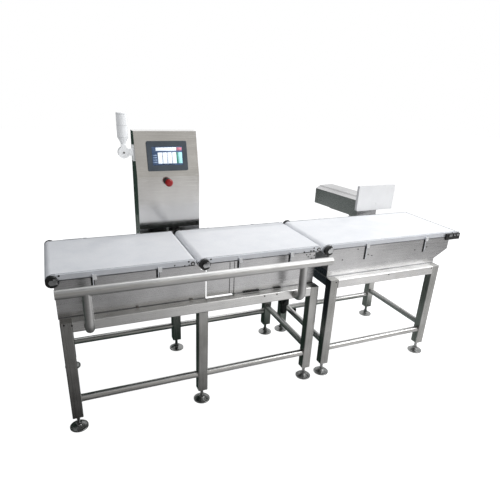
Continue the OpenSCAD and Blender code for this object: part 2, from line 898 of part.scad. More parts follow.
// Gear motor that hangs under the bed, its axis along the roller
module motor(k) {
    face = bar_y1 + bar_t;
    color("darkslategray") difference() {
        union() {
            rod_y(motor_x(k), motor_z, motor_r, face - motor_len, face - gear_len);
            translate([motor_x(k) - gear_w / 2, face - gear_len, motor_z - gear_w / 2]) cube([gear_w, gear_len, gear_w]);
            translate([motor_x(k) + motor_r - motor_box_t / 2, face - motor_len + motor_box_t, motor_z - motor_box_l / 2])
                cube([motor_box_t, motor_box_l, motor_box_l]);
        }
        rod_y(motor_x(k), motor_z, motor_shaft_r + run, face - gear_len / 2, face + over);
    }
}

module motor_pulley(k) {
    face = bar_y1 + bar_t;
    color("lightgray") {
        rod_y(motor_x(k), motor_z, motor_shaft_r, face - gear_len / 2 + clear, pulley_y + pulley_w);
        translate([motor_x(k), pulley_y + pulley_w, motor_z]) rotate([90, 0, 0]) pulley(motor_teeth);
    }
}

module timing_belt(k) {
    play = clear + timing_t;
    color("black") loop_band(
        drive_x(k), drive_z, pulley_r(drive_teeth) + play, motor_x(k), motor_z, pulley_r(motor_teeth) + play,
        timing_t, pulley_y + flange_t + clear, pulley_y + pulley_w - flange_t - clear
    );
}

// Places children on the leaning panel: local Y runs up the slope, local Z out of it
module on_slope(x, up) {
    translate([x, cab_y + up * sin(slope_a), crease_z + up * cos(slope_a)]) rotate([90 - slope_a, 0, 0]) children();
}

function cab_outline() = [
    [cab_y, cab_z], [cab_y, crease_z], [cab_y + cab_lean, cab_top], [cab_back, cab_top], [cab_back, cab_z]
];
function cab_inside(w) = [
    [cab_y + w, cab_z + w],
    [cab_y + w, crease_z - w * tan(slope_a / 2)],
    [cab_y + (w + (cab_top - w - crease_z) * sin(slope_a)) / cos(slope_a), cab_top - w],
    [cab_back - w, cab_top - w],
    [cab_back - w, cab_z + w]
];

module cabinet_shell() {
    hmi_hole_w = hmi_w - 2 * hmi_edge + 2 * hmi_play;
    hmi_hole_h = hmi_h - 2 * hmi_edge + 2 * hmi_play;
    color("silver") difference() {
        union() {
            along_x(cab_x, cab_x + cab_w) polygon(cab_outline());
            for (z = hinge_zs) hinge_lug(z);
        }
        along_x(cab_x + cab_wall, cab_x + cab_w - cab_wall) polygon(cab_inside(cab_wall));
        translate([cab_x + lip_w, cab_back - cab_wall - over, cab_z + lip_w])
            cube([cab_w - 2 * lip_w, cab_wall + 2 * over, cab_top - cab_z - 2 * lip_w]);
        on_slope(cab_x + cab_w / 2, hmi_up + hmi_h / 2) translate([-hmi_hole_w / 2, -hmi_hole_h / 2, -2 * cab_wall])
            cube([hmi_hole_w, hmi_hole_h, 4 * cab_wall]);
        rod_y(stop_x, stop_z, stop_neck_r + clear, cab_y - over, cab_y + cab_wall + over);
        translate([gland_x, gland_y, cab_z - over])
            cylinder(r = gland_r - gland_step - clear, h = cab_wall + 2 * over);
    }
}

// Hinge knuckle on the cabinet's right side
module hinge_lug(z) {
    difference() {
        union() {
            translate([hinge_x, hinge_y, z]) cylinder(r = hinge_lug_r, h = hinge_lug_h);
            translate([hinge_x - hinge_off, hinge_y - 4 * hinge_lug_r, z])
                cube([hinge_off + hinge_r, 4 * hinge_lug_r - hinge_lug_r, hinge_lug_h]);
            translate([hinge_x - hinge_r, hinge_y - 2 * hinge_lug_r, z]) cube([2 * hinge_r, 2 * hinge_lug_r, hinge_lug_h]);
        }
        translate([hinge_x, hinge_y, z - over]) cylinder(r = hinge_r + run, h = hinge_lug_h + 2 * over);
    }
}

module hinge_pins() {
    color("gray") for (z = hinge_zs) translate([hinge_x, hinge_y, z]) {
        cylinder(r = hinge_r, h = 2 * hinge_lug_h + 2 * clear);
        translate([0, 0, 2 * hinge_lug_h + 2 * clear]) cylinder(r = hinge_r + hinge_head, h = hinge_head);
    }
}

// Back door: a folded tray with its own knuckles above the cabinet's
module cabinet_door() {
    y0 = cab_back + clear;
    y1 = cab_back + door_d;
    color("silver") difference() {
        union() {
            difference() {
                translate([cab_x, y0, cab_z]) cube([cab_w, y1 - y0, cab_top - cab_z]);
                translate([cab_x + cab_wall, y0 - over, cab_z + cab_wall])
                    cube([cab_w - 2 * cab_wall, y1 - y0 - cab_wall + over, cab_top - cab_z - 2 * cab_wall]);
            }
            for (z = hinge_zs) translate([hinge_x, hinge_y, z + hinge_lug_h + clear]) {
                cylinder(r = hinge_lug_r, h = hinge_lug_h);
                translate([-hinge_off, -hinge_r, 0]) cube([hinge_off, 2 * hinge_r, hinge_lug_h]);
            }
            rod_y(lock_x, lock_z, lock_r, y0 + cab_wall, y1 - cab_wall / 2);
        }
        for (z = hinge_zs) translate([hinge_x, hinge_y, z + hinge_lug_h]) cylinder(r = hinge_r + run, h = hinge_lug_h + over);
        rod_y(lock_x, lock_z, lock_stem_r + run, y0 - over, y1 + over);
    }
}

// Quarter-turn latch, drawn unlocked: its cam points down
module door_lock() {
    y1 = cab_back + door_d;
    cam_y = cab_back - cab_wall - lock_gap - cap_t;
    color("black") {
        rod_y(lock_x, lock_z, lock_stem_r, cam_y, y1 + clear + over);
        rod_y(lock_x, lock_z, lock_r, y1 + clear, y1 + lock_head_t);
        translate([lock_x - cap_t, y1 + lock_head_t - over, lock_z - 2 * lock_r])
            cube([2 * cap_t, lock_grip, 3 * lock_r]);
        translate([lock_x - lock_stem_r, cam_y, lock_z - lock_cam_l]) cube([2 * lock_stem_r, cap_t, lock_cam_l]);
    }
}

// Flat bars that carry the cabinet on the back top rail, with their bolts
module cabinet_bracket() {
    z = rail_under + bracket_up;
    color("silver") for (s = [0.1, 0.79]) translate([cab_x + cab_w * s, stand_w, z]) {
        cube([bracket_w, hanger_t, bracket_h]);
        for (d = [bracket_w / 4, bracket_w * 3 / 4])
            translate([d, hanger_t + tab_out, bracket_bolt_up]) rotate([90, 0, 0])
                cylinder(r = bracket_bolt_r, h = tab_out, $fn = 6);
    }
}

// Mounting plate with rails and controls inside the cabinet
module control_modules() {
    x0 = cab_x + panel_in;
    y0 = cab_y + cab_wall;
    z0 = cab_z + panel_low;
    w = cab_w - 2 * panel_in;
    h = stop_z - stop_ring_r - panel_gap - z0;
    y1 = y0 + panel_gap + cab_wall;
    color("gainsboro") {
        translate([x0, y0 + panel_gap, z0]) cube([w, cab_wall, h]);
        for (x = [x0 + panel_stand_in, x0 + w - panel_stand_in]) for (z = [z0 + panel_stand_in, z0 + h - panel_stand_in])
            rod_y(x, z, panel_stand_r, y0, y0 + panel_gap);
        for (s = row_shares) translate([x0 + din_in, y1, z0 + h * s - din_h / 2]) cube([w - 2 * din_in, din_t, din_h]);
    }
    color("whitesmoke") for (i = [0 : 2]) for (m = module_shares[i])
        translate([x0 + w * m[0], y1 + din_t, z0 + h * row_shares[i] - h * m[2] / 2]) cube([w * m[1], w * m[3], h * m[2]]);
}

// Operator screen: frame on the leaning panel with its body behind
module screen_case() {
    body_w = hmi_w - 2 * hmi_edge;
    body_h = hmi_h - 2 * hmi_edge;
    glass_w = hmi_w * screen_w_share;
    glass_h = hmi_h * screen_h_share;
    color("black") on_slope(cab_x + cab_w / 2, hmi_up + hmi_h / 2) difference() {
        union() {
            translate([-hmi_w / 2, -hmi_h / 2, 0]) linear_extrude(bezel_t) rounded(hmi_w, hmi_h, hmi_edge);
            translate([-body_w / 2, -body_h / 2, -hmi_body_d]) cube([body_w, body_h, hmi_body_d + over]);
        }
        translate([-glass_w / 2 - clear, -glass_h / 2 - clear, bezel_t - glass_t])
            cube([glass_w + 2 * clear, glass_h + 2 * clear, glass_t + over]);
    }
}

module screen_glass() {
    glass_w = hmi_w * screen_w_share;
    glass_h = hmi_h * screen_h_share;
    color("lightblue") on_slope(cab_x + cab_w / 2, hmi_up + hmi_h / 2)
        translate([-glass_w / 2, -glass_h / 2, bezel_t - glass_t]) cube([glass_w, glass_h, glass_t - clear]);
}

// Collar of the emergency stop with its threaded neck and nut
module stop_collar() {
    neck = cab_wall + stop_nut_h + stop_neck_over;
    color("dimgray") translate([stop_x, cab_y, stop_z]) rotate([-90, 0, 0]) difference() {
        union() {
            translate([0, 0, -stop_ring_h]) cylinder(r = stop_ring_r, h = stop_ring_h);
            cylinder(r = stop_neck_r, h = neck);
            translate([0, 0, cab_wall]) cylinder(r = stop_neck_r + stop_neck_over, h = stop_nut_h, $fn = 6);
        }
        translate([0, 0, -stop_ring_h - over]) cylinder(r = stop_stem_r + run, h = stop_ring_h + neck + 2 * over);
    }
}

module stop_head() {
    gap = stop_press + stop_gap;
    r = stop_head_r;
    h = stop_head_h;
    e = stop_head_edge;
    color("red") translate([stop_x, cab_y - stop_ring_h - gap, stop_z]) rotate([-90, 0, 0]) {
        rotate_extrude() polygon([
            [0, -h], [r - 2 * e, -h + e / 4], [r - e, -h + e * 3 / 4], [r, -h + e * 7 / 4],
            [r, -e], [r - e / 4, -e / 4], [r - e / 2, 0], [0, 0]
        ]);
        cylinder(r = stop_stem_r, h = stop_ring_h + cab_wall + stop_nut_h);
    }
}

// Cable gland for the supply, in the cabinet's underside
module supply_gland() {
    neck_r = gland_r - gland_step - 2 * clear;
    color("black") translate([gland_x, gland_y, cab_z]) difference() {
        union() {
            translate([0, 0, -gland_h / 2]) cylinder(r = gland_r, h = gland_h / 2, $fn = 6);
            translate([0, 0, -gland_h]) cylinder(r = gland_r - gland_step, h = gland_h / 2);
            cylinder(r = neck_r, h = cab_wall + tab_out);
            translate([0, 0, cab_wall]) cylinder(r = gland_r, h = gland_nut_h, $fn = 6);
        }
        translate([0, 0, -gland_h - over]) cylinder(r = gland_bore_r, h = gland_h + cab_wall + tab_out + 2 * over);
    }
}

// Fixed half of the lamp's folding joint, on the cabinet's left side
module lamp_bracket() {
    r = lamp_joint_d / 2;
    color("lightgray") difference() {
        union() {
            rod_y(lamp_x, lamp_joint_z, r, lamp_y, lamp_y + knuckle_t);
            translate([lamp_x, lamp_y, lamp_joint_z - r * lamp_arm_share])
                cube([cab_x - lamp_x - lamp_flange_t, knuckle_t, 2 * r * lamp_arm_share]);
            translate([cab_x - lamp_flange_t, lamp_y - lamp_flange_w / 2, lamp_joint_z - lamp_flange_h / 2 - lamp_flange_sink])
                cube([lamp_flange_t, lamp_flange_w, lamp_flange_h]);
        }
        rod_y(lamp_x, lamp_joint_z, knuckle_pin_r + run, lamp_y - over, lamp_y + knuckle_t + over);
    }
}

// Lamp tube with its foldable half joint, its pin and its neck
module lamp_tube() {
    r = lamp_joint_d / 2;
    neck_z = lamp_joint_z + r + clear;
    tube_z = neck_z + lamp_neck_h + lamp_taper_h;
    color("white") {
        rod_y(lamp_x, lamp_joint_z, r, lamp_y - knuckle_t, lamp_y - clear);
        rod_y(lamp_x, lamp_joint_z, knuckle_pin_r, lamp_y - clear - over, lamp_y + knuckle_t + lamp_pin_out);
        translate([lamp_x - lamp_neck_r, lamp_y - knuckle_t, lamp_joint_z])
            cube([2 * lamp_neck_r, knuckle_t - clear, r + clear + lamp_neck_h / 2]);
        translate([lamp_x, lamp_y, 0]) rotate_extrude() polygon([
            [0, neck_z], [lamp_neck_r, neck_z], [lamp_neck_r, neck_z + lamp_neck_h],
            [lamp_d / 2, tube_z], [lamp_d / 2, lamp_top - lamp_edge], [lamp_d / 2 - lamp_edge, lamp_top], [0, lamp_top]
        ]);
    }
}

// Frame of the pusher: local Y runs back along its stroke
module along_push() {
    translate([push_x, push_y, push_z]) rotate([0, 0, push_yaw]) children();
}

function push_outline(w) = [
    [w, w], [push_w - w, w], [push_w - w, push_h - bevel_z - w / 2],
    [push_w - bevel_x - w / 2, push_h - w], [bevel_x + w / 2, push_h - w], [w, push_h - bevel_z - w / 2]
];

module pusher_housing() {
    color("silver") along_push() difference() {
        along_y(0, push_l) polygon(push_outline(0));
        along_y(guide_t, push_l - cab_wall) polygon(push_outline(cab_wall));
        for (x = [rod_in, push_w - rod_in]) rod_y(x, rod_up, rod_r + run, -over, guide_t + over);
    }
}

// Plate, yoke and the two rods that run in the housing's front plate
module push_plate() {
    y_back = plate_y + plate_t;
    function out(x) = [
        push_x + x * cos(push_yaw) + yoke_gap * sin(push_yaw),
        push_y + x * sin(push_yaw) - yoke_gap * cos(push_yaw)
    ];
    a = out(yoke_in);
    b = out(push_w - yoke_in);
    color("whitesmoke") {
        translate([plate_x, 0, plate_z]) along_y(plate_y, y_back) rounded(plate_w, plate_h, plate_r);
        translate([0, 0, push_z + rod_up - yoke_h / 2]) linear_extrude(yoke_h)
            polygon([[a[0], y_back - plate_t / 2], [b[0], y_back - plate_t / 2], b, a]);
    }
    color("silver") {
        along_push() for (x = [rod_in, push_w - rod_in]) rod_y(x, rod_up, rod_r, -yoke_gap - tab_out, rod_l - yoke_gap);
        rod_y(
            plate_x + plate_w * plate_bolt_share, push_z + rod_up + plate_bolt_t, plate_bolt_r,
            plate_y - plate_bolt_t, plate_y + plate_bolt_t
        );
    }
}

// Bracket that carries the pusher on the reject stand's back top rail
module pusher_bracket() {
    xs = [push_x + post_left, push_x + push_w * cos(push_yaw) - post_right];
    z0 = reject_under;
    z1 = push_z - base_t;
    y = stand_w + post_w;
    color("silver") {
        for (x = xs) {
            translate([x, stand_w, z0]) cube([post_w, post_w, z1 - z0]);
            translate([x + post_w / 2 - cap_t, 0, 0]) along_x(0, 2 * cap_t) polygon([
                [y - over, z1], [y - over, z1 - gusset_l], [y + gusset_nose, z1 - gusset_l],
                [y + gusset_l, z1 - gusset_nose], [y + gusset_l, z1]
            ]);
        }
        translate([0, 0, z1]) linear_extrude(base_t) {
            translate([xs[0], stand_w]) square([xs[1] - xs[0] + post_w, foot_plate_w]);
            translate([push_x, push_y]) rotate(push_yaw) translate([base_side, base_front])
                square([push_w - 2 * base_side, push_l * base_share]);
        }
    }
}

// Compressed air filter and regulator on a flat bar, and a clip under the stretcher
module air_unit() {
    y0 = stand_w - tube - air_in;
    x0 = reject_x - hanger_t;
    cx = x0 - air_body / 2;
    body_z = air_z + air_bowl_h;
    body_y = y0 - air_body / 2;
    color("black") {
        translate([x0, body_y, body_z + air_bar_in])
            cube([hanger_t, stand_w - air_bar_end - body_y, air_body - 2 * air_bar_in]);
        difference() {
            translate([x0 - air_body, body_y, body_z]) cube([air_body, air_body, air_body]);
            translate([x0 - air_body - over, y0, body_z + air_body / 2]) rotate([0, 90, 0])
                cylinder(r = air_port_r, h = air_port_l + over);
        }
        translate([cx, y0, air_z]) cylinder(r1 = air_bowl_r - air_bowl_in, r2 = air_bowl_r, h = air_bowl_end);
        translate([cx, y0, air_z + air_bowl_end]) cylinder(r = air_bowl_r, h = air_bowl_h - air_bowl_end);
        translate([cx, y0, body_z + air_body]) cylinder(r = air_knob_r, h = air_knob_h);
        rod_y(cx, body_z + air_body / 2, air_gauge_r, body_y - air_gauge_t, body_y);
        translate([reject_x + clip_in, stand_w - tube / 2 - clip_w / 2, brace_z - brace_d / 2 - clip_h])
            cube([clip_l, clip_w, clip_h]);
    }
}

place() legs();
place() top_rails();
place() stretchers();
place() foot(0);  // foot_1
place() foot(1);  // foot_2
place() foot(2);  // foot_3
place() foot(3);  // foot_4
place() foot(4);  // foot_5
place() foot(5);  // foot_6
place() foot(6);  // foot_7
place() foot(7);  // foot_8
place() foot(8);  // foot_9
place() foot(9);  // foot_10
place() infeed_trough();
place() weigh_trough();
place() reject_trough();
place() load_cell();
place() weigh_spider();
place() guard_rail();
place() bed(0);  // infeed_bed
place() end_blocks(0);  // infeed_end_blocks
place() conveyor_belt(0);  // infeed_belt
place() drive_roller(0);  // infeed_drive_roller
place() tail_roller(0);  // infeed_tail_roller
place() motor(0);  // infeed_motor
place() motor_pulley(0);  // infeed_motor_pulley
place() timing_belt(0);  // infeed_timing_belt
place() bed(1);  // weigh_bed
place() end_blocks(1);  // weigh_end_blocks
place() conveyor_belt(1);  // weigh_belt
place() drive_roller(1);  // weigh_drive_roller
place() tail_roller(1);  // weigh_tail_roller
place() motor(1);  // weigh_motor
place() motor_pulley(1);  // weigh_motor_pulley
place() timing_belt(1);  // weigh_timing_belt
place() bed(2);  // reject_bed
place() end_blocks(2);  // reject_end_blocks
place() conveyor_belt(2);  // reject_belt
place() drive_roller(2);  // reject_drive_roller
place() tail_roller(2);  // reject_tail_roller
place() motor(2);  // reject_motor
place() motor_pulley(2);  // reject_motor_pulley
place() timing_belt(2);  // reject_timing_belt
place() cabinet_shell();
place() cabinet_bracket();
place() cabinet_door();
place() door_lock();
place() hinge_pins();
place() control_modules();
place() screen_case();
place() screen_glass();
place() stop_collar();
place() stop_head();
place() supply_gland();
place() lamp_bracket();
place() lamp_tube();
place() pusher_housing();
place() pusher_bracket();
place() push_plate();
place() air_unit();
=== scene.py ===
"""Checkweigher on two tube stands: finishes, small parts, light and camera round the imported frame.

Places are in the machine's own millimetres: x from the left end of the long stand, y from its front
face, z from the floor. at() turns them into the row's metres.
"""
import json
from math import cos, pi, radians, sin

import bmesh
import bpy
from mathutils import Matrix, Vector


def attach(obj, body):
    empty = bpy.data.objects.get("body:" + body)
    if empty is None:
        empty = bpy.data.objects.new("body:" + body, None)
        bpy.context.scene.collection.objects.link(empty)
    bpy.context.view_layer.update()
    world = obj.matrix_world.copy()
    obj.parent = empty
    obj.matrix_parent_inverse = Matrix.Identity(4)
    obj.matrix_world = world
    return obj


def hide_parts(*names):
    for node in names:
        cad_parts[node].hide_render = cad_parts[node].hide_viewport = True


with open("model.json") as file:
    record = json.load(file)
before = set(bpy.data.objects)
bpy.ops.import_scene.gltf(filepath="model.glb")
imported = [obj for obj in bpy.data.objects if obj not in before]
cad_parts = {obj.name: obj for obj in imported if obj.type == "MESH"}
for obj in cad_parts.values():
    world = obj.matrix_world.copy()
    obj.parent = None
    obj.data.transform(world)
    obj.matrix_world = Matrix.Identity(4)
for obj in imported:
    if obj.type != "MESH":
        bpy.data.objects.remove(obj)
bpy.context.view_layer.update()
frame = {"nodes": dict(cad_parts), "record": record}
record = frame["record"]
BODY_OF = {node: body for body, nodes in record["behaviour"]["bodies"].items() for node in nodes}

MM = 0.001
MIDDLE = (1129.0, 484.4755)         # the outline's middle on the floor
BELT_SPAN = {"infeed": (-9, 600), "weigh": (666, 1291), "reject": (1357, 2268)}     # x of drive roller, far end
FEET = ["foot_%d" % number for number in range(1, 11)]
ROLLER_Z = 763                      # height of the drive rollers' middles
BRACE_Z, END_BRACE_Z = 165, 201     # centre lines of the long round stretchers and of the end braces
BRACE_BEAD = 18.6                   # radius of a weld bead round a stretcher
POST_XS = (0.093 * 1290, 0.891 * 1290)          # the guard rail's posts, as shares of the long stand
POST_Z, POST_BEAD = 558, 20.6       # where the posts meet the front rail, and their beads' radius
LAMP_X, LAMP_Y = 408, 655           # axis of the signal lamp
PUSH_TURN = radians(10)             # the push plate's turn about the vertical
SLOPE = 0.26117                     # lean of the cabinet's upper front, in radians
CREASE = (584.0, 1079.0)            # y and z where the cabinet's front starts to lean
CAB_MID = 632.0                     # middle of the cabinet's width
SCREEN_UP = 31 + 157 / 2            # middle of the operator screen, up the lean from the crease
CARD_LEFT, CARD_RIGHT = 0.18, 1.0   # the floor card's painted shade: its tone at its left end and at its right
NEAR_LEFT, NEAR_RIGHT = 0.05, 0.85  # how much of that tone is left close to the machine, as the machine's painted shadow
SHARP, FLAT_BEND = 28, 10           # edges above this many degrees are broken: in general, and on CREASED sheets


def at(x, y, z):
    """A place in machine millimetres as a point in the row's metres."""
    return Vector(((x - MIDDLE[0]) * MM, (y - MIDDLE[1]) * MM, z * MM))


PICTURE = 500                                   # width and height of the photograph in pixels
CAMERA_PLACE = (54.034, -1827.884, 1560.106)
CAMERA_TURN = (-0.41138, 1.16808, 0.04389)      # heading, tilt and roll in radians
FOCAL_PIXELS = 445.354
AXIS_PIXEL = (244.36, 274.07)                   # where the optical axis meets the photograph, which was cropped


def add_camera():
    """The photograph's camera, from a fit to the stand's tubes."""
    data = bpy.data.cameras.new("photo_camera")
    data.sensor_width = 36.0
    data.lens = FOCAL_PIXELS / PICTURE * data.sensor_width
    data.shift_x = (PICTURE / 2 - AXIS_PIXEL[0]) / PICTURE
    data.shift_y = (AXIS_PIXEL[1] - PICTURE / 2) / PICTURE
    data.clip_end = 60.0
    camera = bpy.data.objects.new("photo_camera", data)
    bpy.context.scene.collection.objects.link(camera)
    heading, tilt, roll = CAMERA_TURN
    turn = Matrix.Rotation(heading, 4, "Z") @ Matrix.Rotation(tilt, 4, "X") @ Matrix.Rotation(roll, 4, "Z")
    camera.matrix_world = Matrix.Translation(at(*CAMERA_PLACE)) @ turn
    bpy.context.scene.camera = camera


def add_area_light(name, place, target, size, watts):
    """A soft box that shines from place towards target, both in machine millimetres."""
    data = bpy.data.lights.new(name, "AREA")
    data.shape = "RECTANGLE"
    data.size, data.size_y = size
    data.energy = watts
    light = bpy.data.objects.new(name, data)
    light.location = at(*place)
    light.rotation_euler = (at(*target) - at(*place)).to_track_quat("-Z", "Y").to_euler()
    bpy.context.scene.collection.objects.link(light)


def add_node(tree, kind, sockets=None, **settings):
    """Adds a shader node; sockets maps an input to its value or to the output that feeds it."""
    node = tree.nodes.new("ShaderNode" + kind)
    for name, value in settings.items():
        setattr(node, name, value)
    for name, value in (sockets or {}).items():
        if isinstance(value, bpy.types.NodeSocket):
            tree.links.new(value, node.inputs[name])
        else:
            node.inputs[name].default_value = value
    return node


def looked_at(tree):
    """A value of 1 for rays from the camera, off metal or through glass, and 0 for all others."""
    path = add_node(tree, "LightPath")
    seen = path.outputs["Is Camera Ray"]
    for kind in ("Is Glossy Ray", "Is Transmission Ray"):
        seen = add_node(tree, "Math", {0: seen, 1: path.outputs[kind]}, operation="MAXIMUM").outputs[0]
    return seen


def add_world():
    """Plain soft daylight; the camera, metal and glass see the photograph's white background."""
    world = bpy.data.worlds.new("studio")
    world.use_nodes = True
    bpy.context.scene.world = world
    tree = world.node_tree
    tree.nodes.clear()
    soft = add_node(tree, "Background", {"Color": (0.84, 0.86, 0.9, 1), "Strength": 0.445})
    white = add_node(tree, "Background", {"Color": (1, 1, 1, 1), "Strength": 1.0})
    mix = add_node(tree, "MixShader", {0: looked_at(tree), 1: soft.outputs[0], 2: white.outputs[0]})
    add_node(tree, "OutputWorld", {"Surface": mix.outputs[0]})


def from_hex(code):
    """An sRGB hex colour as linear RGBA."""
    parts = [int(code[i:i + 2], 16) / 255 for i in (0, 2, 4)]
    return tuple(c / 12.92 if c <= 0.04045 else ((c + 0.055) / 1.055) ** 2.4 for c in parts) + (1.0,)


def blend(tree, tone, deep, pale):
    """The colour between deep, at tone 0, and pale, at tone 1."""
    return add_node(tree, "Mix", {0: tone, 6: from_hex(deep), 7: from_hex(pale)}, data_type="RGBA").outputs[2]


def new_finish(name):
    """An empty material with its tree, its output and its Object coordinates."""
    finish = bpy.data.materials.new(name)
    finish.use_nodes = True
    tree = finish.node_tree
    tree.nodes.clear()
    output = add_node(tree, "OutputMaterial")
    place = add_node(tree, "TexCoord").outputs["Object"]
    return finish, tree, output, place


def brushed_stainless(name, pale, deep, roughness, grain, bump=0.12):
    """Stainless steel, brushed with a fine belt.

    The belt leaves long parallel scratches about 0.1 mm apart, drawn 2 mm apart so that they show,
    and handling leaves soft patches. grain gives the pattern's frequency per metre along X, Y and Z.
    """
    finish, tree, output, place = new_finish(name)
    lines_place = add_node(tree, "Mapping", {"Vector": place, "Scale": grain})
    lines = add_node(tree, "TexNoise", {"Vector": lines_place.outputs[0], "Scale": 1.0, "Detail": 4.0,
                                        "Roughness": 0.65})
    patches = add_node(tree, "TexNoise", {"Vector": place, "Scale": 7.0, "Detail": 3.0, "Roughness": 0.55})
    tone = add_node(tree, "Math", {0: lines.outputs["Fac"], 1: patches.outputs["Fac"]}, operation="MULTIPLY")
    tone = add_node(tree, "MapRange", {"Value": tone.outputs[0], "From Min": 0.1, "From Max": 0.42})
    colour = blend(tree, tone.outputs[0], deep, pale)
    rough = add_node(tree, "MapRange", {"Value": lines.outputs["Fac"], "From Min": 0.3, "From Max": 0.7,
                                        "To Min": roughness - 0.06, "To Max": roughness + 0.08})
    height = add_node(tree, "Bump", {"Height": lines.outputs["Fac"], "Strength": bump, "Distance": 0.0004})
    surface = add_node(tree, "BsdfPrincipled", {"Base Color": colour, "Metallic": 1.0,
                                                "Roughness": rough.outputs[0], "Normal": height.outputs[0]})
    tree.links.new(surface.outputs[0], output.inputs["Surface"])
    return finish


def speckled(name, pale, deep, roughness, speck_mm, metallic=0.0, bump=0.1, coat=0.0, glow=0.0):
    """A surface whose grain, spark or speck has the size speck_mm: cast, moulded, blasted, painted or woven."""
    finish, tree, output, place = new_finish(name)
    grain = add_node(tree, "TexNoise", {"Vector": place, "Scale": 1000.0 / speck_mm / 2, "Detail": 3.0,
                                        "Roughness": 0.6})
    wear = add_node(tree, "TexNoise", {"Vector": place, "Scale": 9.0, "Detail": 4.0, "Roughness": 0.6})
    tone = add_node(tree, "Math", {0: grain.outputs["Fac"], 1: wear.outputs["Fac"]}, operation="ADD")
    tone = add_node(tree, "MapRange", {"Value": tone.outputs[0], "From Min": 0.7, "From Max": 1.3})
    colour = blend(tree, tone.outputs[0], deep, pale)
    rough = add_node(tree, "MapRange", {"Value": wear.outputs["Fac"], "From Min": 0.3, "From Max": 0.7,
                                        "To Min": max(roughness - 0.05, 0.02), "To Max": roughness + 0.07})
    height = add_node(tree, "Bump", {"Height": grain.outputs["Fac"], "Strength": bump, "Distance": 0.0003})
    surface = add_node(tree, "BsdfPrincipled", {
        "Base Color": colour, "Metallic": metallic, "Roughness": rough.outputs[0],
        "Coat Weight": coat, "Normal": height.outputs[0],
        "Emission Color": (1, 1, 1, 1), "Emission Strength": glow})
    tree.links.new(surface.outputs[0], output.inputs["Surface"])
    return finish


def lit_panel(name, pale, deep, strength):
    """Back-lit liquid crystal: an even glow with the faint 1 mm raster of the display, under clear plastic."""
    finish, tree, output, place = new_finish(name)
    raster = add_node(tree, "TexNoise", {"Vector": place, "Scale": 500.0, "Detail": 1.0})
    colour = blend(tree, raster.outputs["Fac"], deep, pale)
    surface = add_node(tree, "BsdfPrincipled", {"Base Color": colour, "Roughness": 0.25,
                                                "Emission Color": colour, "Emission Strength": strength})
    tree.links.new(surface.outputs[0], output.inputs["Surface"])
    return finish


